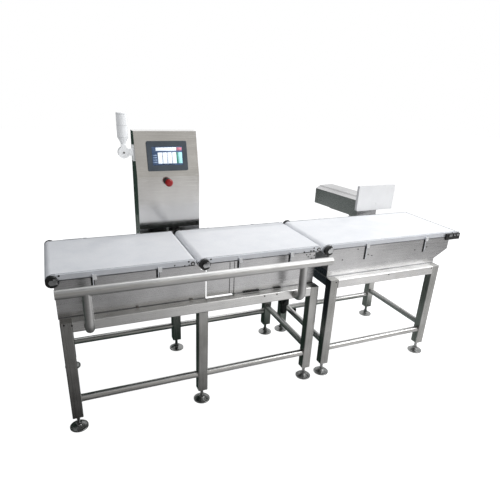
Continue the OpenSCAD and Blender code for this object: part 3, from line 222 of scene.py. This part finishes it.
FINISH = {
    # 50 mm square tube, belt-brushed along its length; its darker colour is painted shade on the upright faces
    "leg_tube": brushed_stainless("stainless_tube_brushed_upright", "c4c4c2", "90908d", 0.3, (420, 420, 6)),
    # the same tube laid level, painted lighter as the lit copy of the upright tube
    "rail_tube": brushed_stainless("stainless_tube_brushed_level", "e9e9e8", "cccccb", 0.3, (6, 420, 420)),
    # drawn round tube, polished round by round with a strap
    "round_tube": brushed_stainless("stainless_round_tube_polished", "d2d2d1", "b6b6b5", 0.3, (8, 160, 160), 0.05),
    # the guard rail, rubbed dull by hands and product
    "hand_rail": brushed_stainless("stainless_round_tube_rubbed", "d3d3d2", "bababa", 0.42, (8, 160, 160), 0.05),
    # 2.5 mm sheet, brushed by the mill before it was bent
    "sheet": brushed_stainless("stainless_sheet_mill_brushed", "d6d6d7", "b9b9ba", 0.28, (5, 380, 380)),
    # 2 mm cabinet sheet, brushed finer and polished after folding
    "cabinet_sheet": brushed_stainless("stainless_sheet_cabinet", "e6e5e4", "cfcecd", 0.17, (5, 300, 380), 0.08),
    # bars and plates of the conveyors: pale anodised aluminium with a silky grain
    "bar_metal": speckled("aluminium_bar_anodised_pale", "eceef2", "dcdfe4", 0.45, 1.0, metallic=0.35, bump=0.08),
    # machined and polished rollers, shafts and nuts
    "bright_steel": brushed_stainless("steel_turned_bright", "d6d7d8", "a9abad", 0.16, (500, 20, 500), 0.04),
    # zinc plate keeps a fine crystalline sparkle over pressed steel
    "zinc": speckled("steel_pressed_zinc_plated", "a8a9a8", "7b7c7c", 0.32, 1.5, metallic=1.0, bump=0.15),
    # machined aluminium with fine tool marks
    "aluminium": speckled("aluminium_machined", "c4c6c9", "a2a4a7", 0.35, 0.9, metallic=1.0, bump=0.12),
    # white food-grade belt: woven carrier under a smooth cover, faint dust and wear
    "belt": speckled("polyurethane_belt_food_grade", "f6f7f9", "e9ebef", 0.42, 2.0, bump=0.05),
    # the belt's cut edge, heat-sealed, shows its grey carrier; where the last belt turns down the same grey is
    # painted shade
    "belt_edge": speckled("belt_sealed_edge_and_painted_shade", "7c827f", "666c69", 0.6, 1.2, bump=0.1),
    # moulded black plastic with a fine spark-eroded texture
    "black_plastic": speckled("polyamide_black_moulded", "232425", "131415", 0.45, 0.8, bump=0.15),
    # the operator screen's frame: blue-black plastic with a fine grain
    "screen_plastic": speckled("abs_blue_black_moulded", "525c66", "424b54", 0.32, 0.8, bump=0.08),
    # rubber with a chalky bloom; its black also stands for painted shade in the gap under the weighing trough and in
    # the hanger slots
    "rubber": speckled("neoprene_black_and_painted_shade", "1d1d1e", "0f0f10", 0.7, 1.2, bump=0.2),
    # sprayed enamel over a cast housing: slight orange peel
    "motor_paint": speckled("enamel_dark_grey_on_casting", "3d4144", "2a2d2f", 0.4, 3.0, bump=0.25),
    # moulded housings of the modules and the lamp's joint lines
    "grey_plastic": speckled("polycarbonate_grey_moulded", "c9cbcc", "a5a8aa", 0.5, 1.0, bump=0.1),
    # milled sheet plastic, faintly rubbed; on the hanger tabs its white is a painted highlight of lit sheet metal
    "white_plastic": speckled("polyethylene_white_and_painted_highlight", "f8f8f8", "ebebeb", 0.38, 1.6, bump=0.08),
    # milky moulding with a glossy skin; its glow is the light that passes through it
    "lamp_plastic": speckled("polycarbonate_milky_moulded", "fbfcfd", "eff1f2", 0.22, 4.0, bump=0.03, coat=0.3,
                             glow=0.2),
    # glossy red moulding of the stop button
    "red_plastic": speckled("polyamide_red_moulded", "c4161c", "8f0d12", 0.3, 1.2, bump=0.06, coat=0.2),
    # weld metal, ground with a flap disc
    "weld": speckled("weld_bead_ground", "a6a4a0", "6e6b67", 0.38, 1.2, metallic=1.0, bump=0.3),
    # screws and plugs of blackened steel
    "dark_bolt": speckled("steel_blackened_oiled", "2b2c2e", "17181a", 0.4, 0.8, metallic=0.6, bump=0.15),
    # fields of the lit display
    "page_blue": lit_panel("display_field_blue_grey", "5a6f90", "46597a", 0.35),
    "page_white": lit_panel("display_field_white", "f4faff", "dce8f4", 0.75),
    "page_pink": lit_panel("display_field_pink", "d98a9a", "c26c7f", 0.5),
    "page_green": lit_panel("display_field_green", "4fa383", "3f8a6e", 0.5),
    "page_cyan": lit_panel("display_field_cyan", "bff2f0", "98dfe0", 0.6),
    "page_pale": lit_panel("display_field_pale", "8ea3c0", "7a90ae", 0.4),
    "page_dark": lit_panel("display_field_dark", "3c4a60", "2e3a4e", 0.2),
    # printed film round the display, smooth and lightly glossy
    "screen_glass": speckled("screen_film_dark", "4a5d78", "33445c", 0.12, 1.0, bump=0.01, coat=0.5),
}

NODE_FINISH = {
    "legs": "leg_tube", "top_rails": "rail_tube", "stretchers": "round_tube", "guard_rail": "hand_rail",
    "infeed_trough": "sheet", "weigh_trough": "sheet", "reject_trough": "sheet", "load_cell": "aluminium",
    "weigh_spider": "sheet", "cabinet_shell": "cabinet_sheet", "cabinet_bracket": "sheet",
    "cabinet_door": "cabinet_sheet", "door_lock": "black_plastic", "hinge_pins": "bright_steel",
    "control_modules": "grey_plastic", "screen_case": "screen_plastic", "screen_glass": "screen_glass",
    "stop_collar": "black_plastic", "stop_head": "red_plastic", "supply_gland": "black_plastic",
    "lamp_bracket": "lamp_plastic", "lamp_tube": "lamp_plastic", "pusher_housing": "sheet",
    "pusher_bracket": "sheet", "push_plate": "white_plastic", "air_unit": "black_plastic",
}
for foot in FEET:
    NODE_FINISH[foot] = "zinc"
for line in BELT_SPAN:
    NODE_FINISH.update({
        line + "_bed": "bar_metal", line + "_end_blocks": "black_plastic", line + "_belt": "belt",
        line + "_drive_roller": "bright_steel", line + "_tail_roller": "bright_steel", line + "_motor": "motor_paint",
        line + "_motor_pulley": "aluminium", line + "_timing_belt": "rubber",
    })


def paint_nodes():
    """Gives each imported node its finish."""
    for name, finish in NODE_FINISH.items():
        mesh = frame["nodes"][name].data
        mesh.materials.clear()
        mesh.materials.append(FINISH[finish])


def level(x0, y0, x1, y1, z):
    """Corners of a level sheet at height z."""
    return [(x0, y0, z), (x1, y0, z), (x1, y1, z), (x0, y1, z)]


def across(y, x0, z0, x1, z1):
    """Corners of an upright sheet that runs along X at depth y."""
    return [(x0, y, z0), (x1, y, z0), (x1, y, z1), (x0, y, z1)]


def upright(x, y0, z0, y1, z1):
    """Corners of an upright sheet that runs along Y at x."""
    return [(x, y0, z0), (x, y1, z0), (x, y1, z1), (x, y0, z1)]


def flat_piece(name, corners):
    """A flat stage piece through four corners in machine millimetres."""
    mesh = bpy.data.meshes.new(name)
    bm = bmesh.new()
    bm.faces.new([bm.verts.new(at(*corner)) for corner in corners])
    bm.to_mesh(mesh)
    bm.free()
    piece = bpy.data.objects.new(name, mesh)
    bpy.context.scene.collection.objects.link(piece)
    return piece


def add_floor():
    """A white studio floor that keeps the machine's shadow."""
    floor = flat_piece("studio_floor", level(-14000, -14000, 16000, 14000, 0))
    finish, tree, output, place = new_finish("floor_vinyl_white")
    dust = add_node(tree, "TexNoise", {"Vector": place, "Scale": 3.0, "Detail": 3.0})
    colour = blend(tree, dust.outputs["Fac"], "a8a8a8", "b0b0b0")
    surface = add_node(tree, "BsdfDiffuse", {"Color": colour})
    strength = add_node(tree, "Math", {0: looked_at(tree), 1: 0.93}, operation="MULTIPLY")
    glow = add_node(tree, "Emission", {"Color": (1, 1, 1, 1), "Strength": strength.outputs[0]})
    lift = add_node(tree, "AddShader", {0: surface.outputs[0], 1: glow.outputs[0]})
    tree.links.new(lift.outputs[0], output.inputs["Surface"])
    floor.data.materials.append(finish)


# What the metal sees: name, colour, strength and corners
CARDS = (
    ("card_wall_left", "f2efe9", 0.22, across(-4200, -7000, 0, 700, 5500)),
    ("card_front_wall", "f2efe9", 0.6, across(-4200, 700, 0, 9000, 5500)),
    ("card_dark_behind", "2c3a34", 1.0, across(1900, -4000, 560, 500, 2600)),
    ("card_overhead_left", "7c7d7f", 1.0, level(-4000, -2400, 500, 1000, 3700)),
    ("card_overhead", "bcbdbe", 1.0, level(500, -2400, 5000, 1000, 3700)),
    ("card_dark_lower", "2c3a34", 1.0, across(1900, -4000, 0, 700, 560)),
    ("card_grey_left", "c8ccca", 1.0, across(1890, -200, 0, 90, 500)),
    ("card_grey_right", "c8ccca", 1.0, across(1890, 350, 0, 700, 500)),
    ("card_belt_gap", "181b1a", 1.0, level(-40, 462, 1335, 583, 791)),
    ("card_stand_gap", "20262a", 1.0, upright(1326, -60, 330, 600, 690)),
    ("card_dark_below", "2c3a34", 1.0, level(-4000, 60, 1340, 7000, 3)),
    ("card_grey_below", "77807c", 1.0, level(1340, 60, 2300, 7000, 3)),
    ("card_dark_left", "2c3a34", 1.0, upright(-1500, -700, 0, 5000, 3600)),
)


def add_card(name, finish_name, corners, paint):
    """A glowing sheet that nothing but polished metal sees; paint gives its colour and strength from its place."""
    card = flat_piece(name, corners)
    finish, tree, output, place = new_finish(finish_name)
    colour, strength = paint(tree, place)
    paper = add_node(tree, "Emission", {"Color": colour, "Strength": strength})
    tree.links.new(paper.outputs[0], output.inputs["Surface"])
    card.data.materials.append(finish)
    card.visible_camera = False
    card.visible_diffuse = False
    card.visible_shadow = False
    card.visible_transmission = False


def floor_card_tone(tree, place):
    """Painted shade on a floor card that only the metal reflects: deeper to the left, far to the right, far in front,
    and close to the machine as its painted shadow.

    ramp goes from low at start to high at end, both in metres from the outline's middle along one axis.
    """
    axes = add_node(tree, "SeparateXYZ", {"Vector": place})

    def ramp(axis, start, end, low, high):
        return add_node(tree, "MapRange", {"Value": axes.outputs[axis], "From Min": start, "From Max": end,
                                           "To Min": low, "To Max": high}).outputs[0]

    tone = ramp(0, -1.3, 0.6, CARD_LEFT, CARD_RIGHT)
    close = ramp(0, -1.3, 0.6, NEAR_LEFT, NEAR_RIGHT)
    for shade in (ramp(1, -1.3, -0.45, 1.0, close), ramp(0, 1.8, 2.5, 1.0, 0.45), ramp(1, -4.6, -2.6, 0.8, 1.0)):
        tone = add_node(tree, "Math", {0: tone, 1: shade}, operation="MULTIPLY").outputs[0]
    return from_hex("f3f2f2"), tone


def add_cards():
    """The grey floor card, and the walls, ceiling and dark gaps of CARDS."""
    add_card("grey_floor_card", "card_floor_painted_shade", level(-5000, -7000, 7000, 20, 2), floor_card_tone)
    for name, code, strength, corners in CARDS:
        add_card(name, name, corners, lambda tree, place: (from_hex(code), strength))


def finish_piece(name, bm, finish, body, soft=None, replaced=(), limit=SHARP):
    """Turns a bmesh in machine metres round the row's origin into a piece that rides on a body."""
    mesh = bpy.data.meshes.new(name)
    bm.to_mesh(mesh)
    bm.free()
    mesh.materials.clear()
    mesh.materials.append(FINISH[finish])
    for face in mesh.polygons:
        face.use_smooth = True
    piece = bpy.data.objects.new(name, mesh)
    bpy.context.scene.collection.objects.link(piece)
    if soft:
        edges = piece.modifiers.new("soft_edges", "BEVEL")
        edges.width = soft * MM
        edges.segments = 2
        edges.limit_method = "ANGLE"
        edges.angle_limit = radians(limit)
        faces = piece.modifiers.new("flat_faces_stay_flat", "WEIGHTED_NORMAL")
        faces.mode = "FACE_AREA"
        faces.weight = 100
        faces.keep_sharp = True
    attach(piece, body)
    if replaced:
        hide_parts(*replaced)


def soften(node, width):
    """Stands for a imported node: the same solid with its hard edges broken, as a bent or machined piece has them."""
    bm = bmesh.new()
    bm.from_mesh(frame["nodes"][node].data)
    bmesh.ops.remove_doubles(bm, verts=bm.verts, dist=0.00001)
    bmesh.ops.dissolve_limit(bm, angle_limit=radians(0.6), use_dissolve_boundaries=False, verts=bm.verts,
                             edges=bm.edges, delimit={"NORMAL"})
    finish_piece(node + "_worn", bm, NODE_FINISH[node], BODY_OF[node], width, (node,),
                 FLAT_BEND if node in CREASED else SHARP)


# Nodes that a worn copy stands for, and the width of its broken edges in millimetres
EDGE_WIDTH = {
    "infeed_trough": 0.6, "weigh_trough": 0.6, "reject_trough": 0.6, "cabinet_shell": 1.6, "cabinet_door": 1.6,
    "pusher_housing": 2.5, "push_plate": 2.5, "screen_case": 2.0, "lamp_bracket": 2.0, "lamp_tube": 1.0,
    "stop_collar": 1.2, "stop_head": 0.6, "air_unit": 1.2, "infeed_end_blocks": 1.0, "weigh_end_blocks": 1.0,
    "reject_end_blocks": 1.0, "infeed_bed": 0.5, "weigh_bed": 0.5, "reject_bed": 0.5, "legs": 0.5, "top_rails": 0.5,
    "stretchers": 0.4, "guard_rail": 0.8, "infeed_motor": 2.0, "weigh_motor": 2.0, "reject_motor": 2.0,
    "control_modules": 1.0, "cabinet_bracket": 0.6, "pusher_bracket": 0.8, "supply_gland": 0.8, "door_lock": 0.8,
    "load_cell": 0.8, "weigh_spider": 0.6,
}
for foot in FEET:
    EDGE_WIDTH[foot] = 0.5
# Sheets with bends flatter than SHARP
CREASED = ("cabinet_shell", "cabinet_door", "infeed_trough", "weigh_trough", "reject_trough")


def box_into(bm, x0, y0, z0, x1, y1, z1):
    """Adds a block between two corners in machine millimetres."""
    made = bmesh.ops.create_cube(bm, size=1.0)["verts"]
    low, high = at(x0, y0, z0), at(x1, y1, z1)
    bmesh.ops.scale(bm, vec=high - low, verts=made)
    bmesh.ops.translate(bm, vec=(low + high) / 2, verts=made)


def edges_at(verts):
    """All edges that meet the vertices, each once and in the same order in every run."""
    return list(dict.fromkeys(edge for vert in verts for edge in vert.link_edges))


def verts_in(geometry):
    """The vertices in what an operator returned."""
    return [thing for thing in geometry if isinstance(thing, bmesh.types.BMVert)]


def round_into(bm, x, z, radius, y0, y1, edge, sides):
    """Adds a round or six-sided plug along Y, its front rim broken by edge."""
    spot = Matrix.Translation(at(x, (y0 + y1) / 2, z)) @ Matrix.Rotation(pi / 2, 4, "X")
    made = bmesh.ops.create_cone(bm, cap_ends=True, segments=sides, radius1=radius * MM, radius2=radius * MM,
                                 depth=(y1 - y0) * MM, matrix=spot)["verts"]
    front = at(0, y0, 0).y
    rim = [e for e in edges_at(made) if all(abs(vert.co.y - front) < 1e-6 for vert in e.verts)]
    bmesh.ops.bevel(bm, geom=rim, offset=edge * MM, segments=3, profile=0.5, affect="EDGES", material=-1)


def add_bolts(name, places, size, body):
    """Blackened bolts or plugs along Y at places x and z; size is radius, front, back, rim and sides."""
    bm = bmesh.new()
    for x, z in places:
        round_into(bm, x, z, *size)
    finish_piece(name, bm, "dark_bolt", body)


def front_fittings():
    """Bolts and plugs on the conveyors' front bars and the troughs' front walls."""
    add_bolts("infeed_bar_bolts", [(521.6, 771.7), (570, 765), (591, 766), (604, 767), (637, 774)],
              (3.2, 55.4, 57.2, 0.8, 16), "infeed_conveyor")
    add_bolts("weigh_bar_bolts", [(1212, 766), (1252, 768), (1269, 768), (1292, 773)],
              (4.0, 55.0, 57.2, 0.8, 16), "weigh_conveyor")
    add_bolts("trough_wall_bolts", [(1455, 697), (1551, 750), (1626, 711), (1652, 702), (1961, 704), (2050, 713),
                                    (1236, 740), (1272, 744), (1256, 728), (1225, 752), (1246, 752)],
              (3.6, 50.4, 52.2, 0.9, 16), "machine_frame")
    for line, places in {"infeed": (21.4, 588.9), "weigh": (698.9, 1269.7), "reject": (1375.6, 2236.0)}.items():
        add_bolts(line + "_bar_plugs", [(x, 783.2) for x in places], (4.2, 56.0, 57.4, 0.6, 20), line + "_conveyor")


def seat_pads():
    """Painted shade in the gap under the weighing trough, clips that show between the front rail and the troughs, and
    the rail's screws.
    """
    rail_top = 585.4
    bm = bmesh.new()
    # dark strips on the rail's top: painted shade of the gap between the rail and the weighing trough
    for x0, x1 in [(871, 960), (1042, 1083), (1226, 1276)]:
        box_into(bm, x0, 43.0, rail_top, x1, 51.4, 590.5)
    finish_piece("weigh_trough_gap_painted_shade", bm, "rubber", "machine_frame", 0.8)
    bm = bmesh.new()
    for x0, x1 in [(334, 345), (590, 606)]:
        box_into(bm, x0, 42.0, rail_top, x1, 51.4, 592.5)
    finish_piece("infeed_trough_clips", bm, "weld", "machine_frame", 0.8)
    add_bolts("front_rail_screws", [(16.7, 575), (49, 568), (969, 574), (1039, 574), (1397, 592), (1751, 594),
                                    (2068, 596)], (4.0, -2.2, 0.2, 0.8, 6), "machine_frame")


def slot_trims():
    """Painted shade in the hanger slots, the front hangers' tabs painted white as lit faces, and the weighing
    trough's dark seams.
    """
    # x of the front hangers and z of their slots' low ends
    slots = {"infeed": ((157.0, 443.0), 714), "weigh": ((844.1, 1129.0), 714), "reject": ((1606.0, 2028.0), 688)}
    bm = bmesh.new()
    for places, low in slots.values():
        for x in places:
            # dark blocks in each slot: painted shade of the open slot on both sides of the hanger
            box_into(bm, x - 10.0, 50.2, low - 3, x - 2.5, 56.2, 761)
            box_into(bm, x + 2.6, 50.8, low + 0.5, x + 5.6, 56.2, 748)
    finish_piece("hanger_slot_painted_shade", bm, "rubber", "machine_frame", 0.6)
    for line, (places, _) in slots.items():
        bm = bmesh.new()
        for x in places:
            # thin white sheet on each tab: painted highlight of the lit sheet-metal face
            box_into(bm, x - 1.6, 45.2, 751.6, x + 16.4, 45.95, 776.4)
        finish_piece(line + "_hanger_tabs", bm, "white_plastic", line + "_conveyor", 0.3)
    bm = bmesh.new()
    for x in (794.2, 818.2):
        box_into(bm, x, 51.4, 590.5, x + 3.2, 54.4, 756.0)
    finish_piece("weigh_trough_seams", bm, "rubber", "machine_frame")


def ring_into(bm, place, inner, outer, depth):
    """Adds a flat ring whose axis runs along Y, from place back by depth."""
    middle = at(*place)
    made = bmesh.ops.create_circle(bm, cap_ends=False, segments=48, radius=inner * MM,
                                   matrix=Matrix.Translation(middle) @ Matrix.Rotation(pi / 2, 4, "X"))["verts"]
    rim = verts_in(bmesh.ops.extrude_edge_only(bm, edges=edges_at(made))["geom"])
    for vert in rim:
        vert.co = middle + (vert.co - middle) * (outer / inner)
    faces = list(dict.fromkeys(face for vert in rim for face in vert.link_faces))
    grown = bmesh.ops.extrude_face_region(bm, geom=faces, use_keep_orig=True)["geom"]
    bmesh.ops.translate(bm, vec=Vector((0, depth * MM, 0)), verts=verts_in(grown))
    bmesh.ops.recalc_face_normals(bm, faces=bm.faces)


def bearing_faces():
    """Bright screwed plates on the front bearings, and the wider black flanges of the back bearings."""
    for line, wide in {"infeed": 26.9, "weigh": 31, "reject": 31}.items():
        x = BELT_SPAN[line][0]
        bm = bmesh.new()
        box_into(bm, x + 6, 38.4, 751, x + 23, 39.6, 779)
        round_into(bm, x + 15, 757, 3.0, 37.2, 38.6, 0.6, 6)
        round_into(bm, x + 15, 773, 3.0, 37.2, 38.6, 0.6, 6)
        finish_piece(line + "_bearing_plate", bm, "bright_steel", line + "_conveyor", 0.25)
        bm = bmesh.new()
        ring_into(bm, (x, 523.3, ROLLER_Z), 26.1, wide, 11.4)
        finish_piece(line + "_back_flange", bm, "black_plastic", line + "_conveyor", 0.4)


def belt_edges():
    """Sealed edges of the three belts, a grey line of painted shade where the last belt turns down, and the last tail
    block's bolts.
    """
    for line, (x0, x1) in BELT_SPAN.items():
        bm = bmesh.new()
        box_into(bm, x0, 65.2, 789.6, x1, 67.0, 790.12)
        box_into(bm, x0, 509.5, 789.6, x1, 514.8, 790.2)
        # the grey strip past the reject belt's end is painted shade of the belt turning down over its roller
        if line == "reject":
            box_into(bm, 2268.5, 67, 788.8, 2274.5, 513, 790.0)
        finish_piece(line + "_belt_edges", bm, "belt_edge", line + "_conveyor")
    bm = bmesh.new()
    box_into(bm, 2200, 39.0, 765, 2224, 40.4, 780)
    for x in (2243, 2263):
        round_into(bm, x, 772, 5.0, 37.6, 40.4, 0.9, 6)
    finish_piece("reject_tail_bolts", bm, "bright_steel", "reject_conveyor", 0.2)


def plate_screw():
    """The one screw that shows on the push plate, square to its face: made at the corner x, y, z = 0, then placed."""
    bm = bmesh.new()
    round_into(bm, 0, 0, 5.0, -1.4, 1.2, 0.9, 20)
    turn = Matrix.Rotation(PUSH_TURN, 4, "Z") @ Matrix.Translation(-at(0, 0, 0))
    bmesh.ops.transform(bm, matrix=Matrix.Translation(at(2068.5, 582.9, 839.4)) @ turn, verts=list(bm.verts))
    finish_piece("push_plate_screw", bm, "zinc", "pusher_slide")


def bead_into(bm, place, axis, radius, thick, steps=28):
    """Adds a bead round a tube whose axis is X, Y or Z: a small circle spun round the tube."""
    turn = {"X": Matrix.Rotation(pi / 2, 4, "Y"), "Y": Matrix.Rotation(pi / 2, 4, "X"), "Z": Matrix.Identity(4)}[axis]
    before = set(bm.verts)
    start = Matrix.Translation((radius * MM, 0, 0)) @ Matrix.Rotation(pi / 2, 4, "X")
    circle = bmesh.ops.create_circle(bm, cap_ends=False, segments=6, radius=thick * MM, matrix=start)["verts"]
    bmesh.ops.spin(bm, geom=circle + edges_at(circle), cent=(0, 0, 0), axis=(0, 0, 1), angle=2 * pi, steps=steps,
                   use_merge=True, use_duplicate=False)
    bead = [vert for vert in bm.verts if vert not in before]
    bmesh.ops.transform(bm, matrix=Matrix.Translation(at(*place)) @ turn, verts=bead)


def weld_beads():
    """Ground weld beads where the round stretchers, the end braces and the guard rail meet the stands."""
    bm = bmesh.new()
    for y in (25, 555):
        for ends in ((50, 620), (670, 1240), (1412, 2078)):
            for x in ends:
                bead_into(bm, (x, y, BRACE_Z), "X", BRACE_BEAD, 1.5)
    for x in (25, 1265, 1387, 2103):
        for y in (50, 530) if x > 25 else (530,):
            bead_into(bm, (x, y, END_BRACE_Z), "Y", BRACE_BEAD, 1.5)
    for x in POST_XS:
        bead_into(bm, (x, 0, POST_Z), "Y", POST_BEAD, 1.6)
    finish_piece("weld_beads", bm, "weld", "machine_frame")


def screen_place(right, up, out):
    """A place on the operator screen: right and up from its frame's middle, out of its face."""
    reach = SCREEN_UP + up
    return at(CAB_MID + right, CREASE[0] + reach * sin(SLOPE) - out * cos(SLOPE),
              CREASE[1] + reach * cos(SLOPE) + out * sin(SLOPE))


# A plain operating page with no lettering: the fields' finish, how far out they lie, and their left, low, right
# and top edges
PAGE = {
    "screen_page_ground": ("page_blue", 6.7, [(-83, -48, 83, 48)]),
    "screen_title_bar": ("page_white", 7.0, [(-62, 27, 50, 44)]),
    "screen_page_button": ("page_pink", 7.0, [(52, 28, 80, 44)]),
    "screen_value_columns": ("page_white", 7.0, [(-53, -40, -30, 18), (-27, -40, -4, 18), (-1, -40, 22, 18),
                                                 (25, -40, 48, 18)]),
    "screen_green_column": ("page_green", 7.0, [(50, -40, 57, 18)]),
    "screen_cyan_column": ("page_cyan", 7.0, [(59, -40, 80, 18)]),
    "screen_side_list": ("page_pale", 7.0, [(-80, -36, -58, -30), (-80, -24, -58, -18), (-80, -12, -58, -6),
                                            (-80, 0, -58, 6)]),
    "screen_low_marks": ("page_dark", 7.0, [(-30, -46, -2, -42), (4, -46, 34, -42)]),
}


def screen_picture():
    """The fields of PAGE, each 0.25 mm thick."""
    lift = Vector((0, -cos(SLOPE), sin(SLOPE))) * 0.25 * MM
    for name, (finish, out, fields) in PAGE.items():
        bm = bmesh.new()
        for x0, z0, x1, z1 in fields:
            corners = [bm.verts.new(screen_place(x, z, out)) for x, z in ((x0, z0), (x1, z0), (x1, z1), (x0, z1))]
            grown = bmesh.ops.extrude_face_region(bm, geom=[bm.faces.new(corners)])["geom"]
            bmesh.ops.translate(bm, vec=lift, verts=verts_in(grown))
        bmesh.ops.recalc_face_normals(bm, faces=bm.faces)
        finish_piece(name, bm, finish, "machine_frame")


def lamp_details():
    """Joint lines, cap line and pivot screw of the folding signal lamp."""
    bm = bmesh.new()
    for z in (1281, 1340, 1395):
        bead_into(bm, (LAMP_X, LAMP_Y, z), "Z", 28.0, 0.5, 40)
    finish_piece("lamp_joint_lines", bm, "grey_plastic", "signal_lamp")
    bm = bmesh.new()
    round_into(bm, LAMP_X, 1202, 6.0, 637.6, 640.2, 1.0, 6)
    finish_piece("lamp_pivot_screw", bm, "zinc", "signal_lamp")


bpy.context.scene.view_settings.view_transform = "Standard"
add_camera()
add_world()
add_area_light("key_soft_box", (3500, -1500, 2900), (1800, 300, 700), (2.4, 2.4), 69)
add_area_light("top_soft_box", (2100, 700, 3400), (1700, 300, 600), (3.0, 2.0), 34)
add_floor()
add_cards()
paint_nodes()
for node, width in EDGE_WIDTH.items():
    soften(node, width)
front_fittings()
seat_pads()
slot_trims()
bearing_faces()
belt_edges()
plate_screw()
weld_beads()
screen_picture()
lamp_details()
